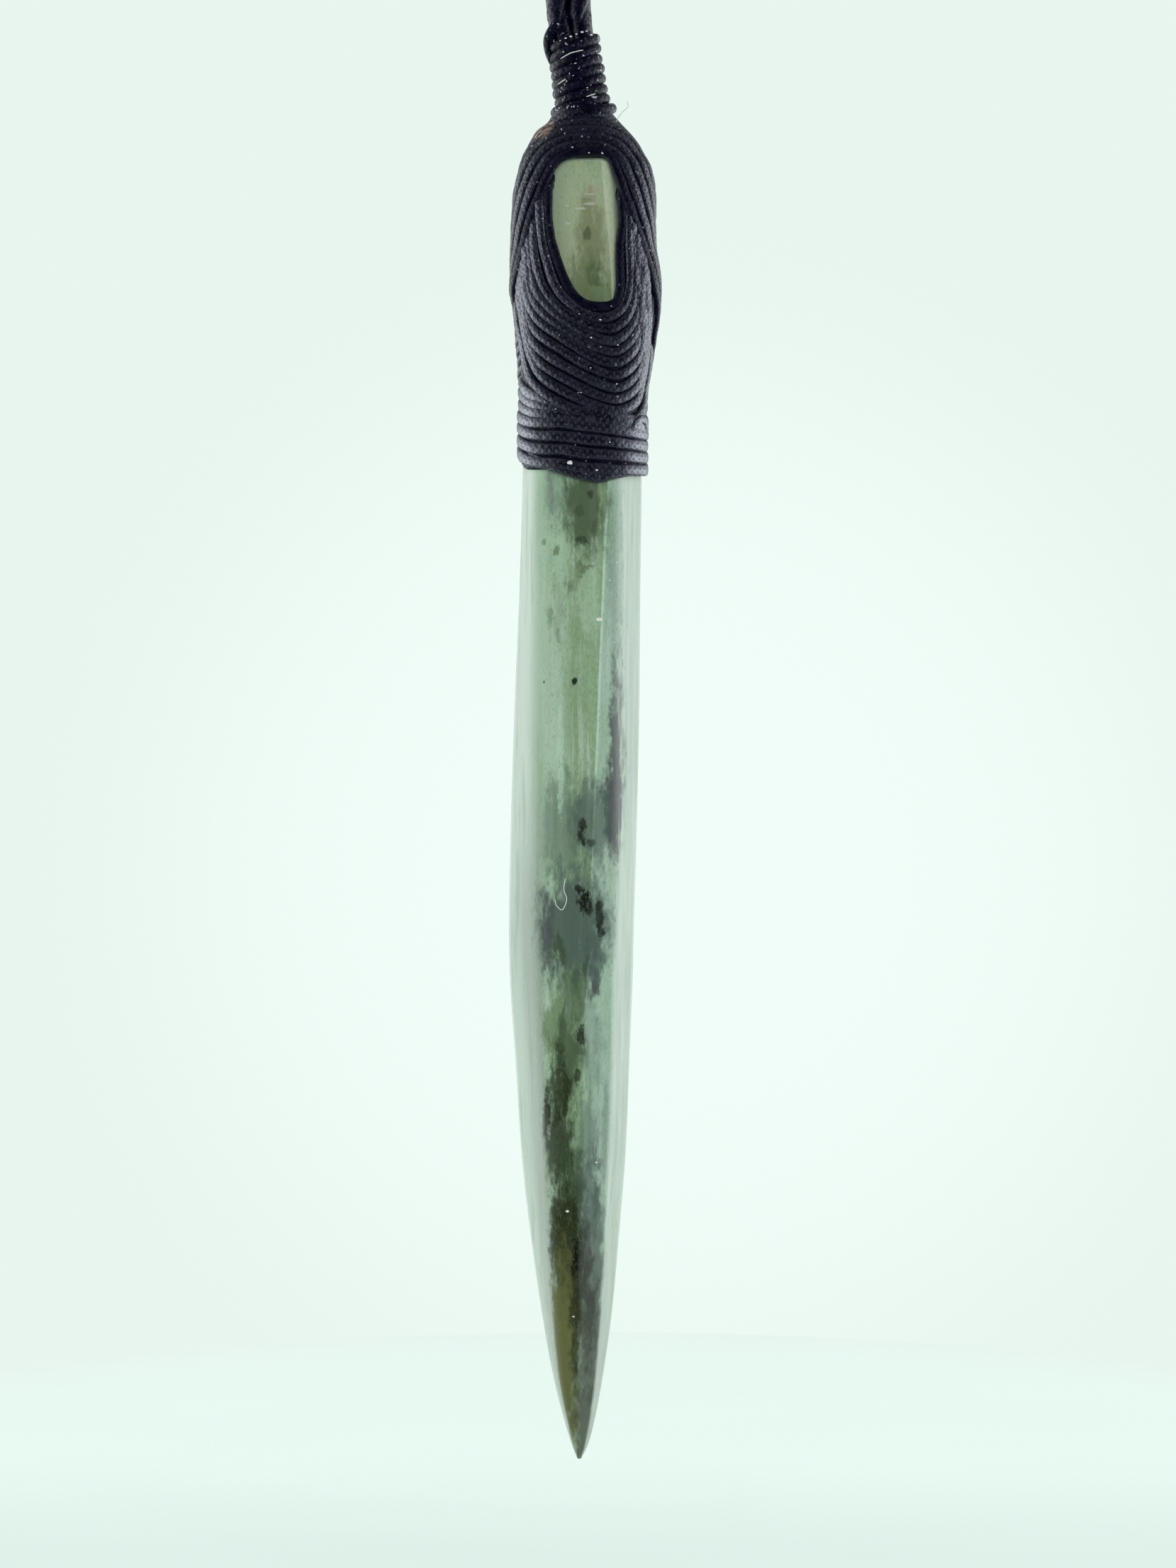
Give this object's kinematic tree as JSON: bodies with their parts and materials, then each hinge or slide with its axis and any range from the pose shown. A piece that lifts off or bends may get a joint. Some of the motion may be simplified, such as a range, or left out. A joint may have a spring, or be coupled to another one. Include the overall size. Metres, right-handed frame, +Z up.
{
  "type": "greenstone adze pendant",
  "caption": "Long faceted greenstone adze blade, its head bound in black waxed cord with a window in front, hung from a whipped loop of plaited neck cord.",
  "frame": {"origin": "inside of the top of the neck loop, where it hangs on a neck or a peg", "axes": "+Z up, -Y towards the front of the pendant, +X to the right of the front view"},
  "size_m": [0.122, 0.0082, 0.404],
  "materials": {
    "greenstone": "polished nephrite, pale sage green with olive, moss and violet-grey mottling, slightly translucent at the edges",
    "lashing_cord": "black waxed cord pressed flat, fine braid, soft grey sheen",
    "whipping_cord": "black waxed cord wound tight, with a few loose pale fibres",
    "plaited_cord": "black waxed cord plaited round, glossy on its crests"
  },
  "bodies": {
    "root": {"greenstone_blade": "greenstone", "hood_lashing": "lashing_cord", "front_sweep": "lashing_cord", "back_sweep": "lashing_cord", "collar_lashing": "lashing_cord", "neck_whipping": "whipping_cord", "neck_cord": "plaited_cord"}
  },
  "joints": []
}
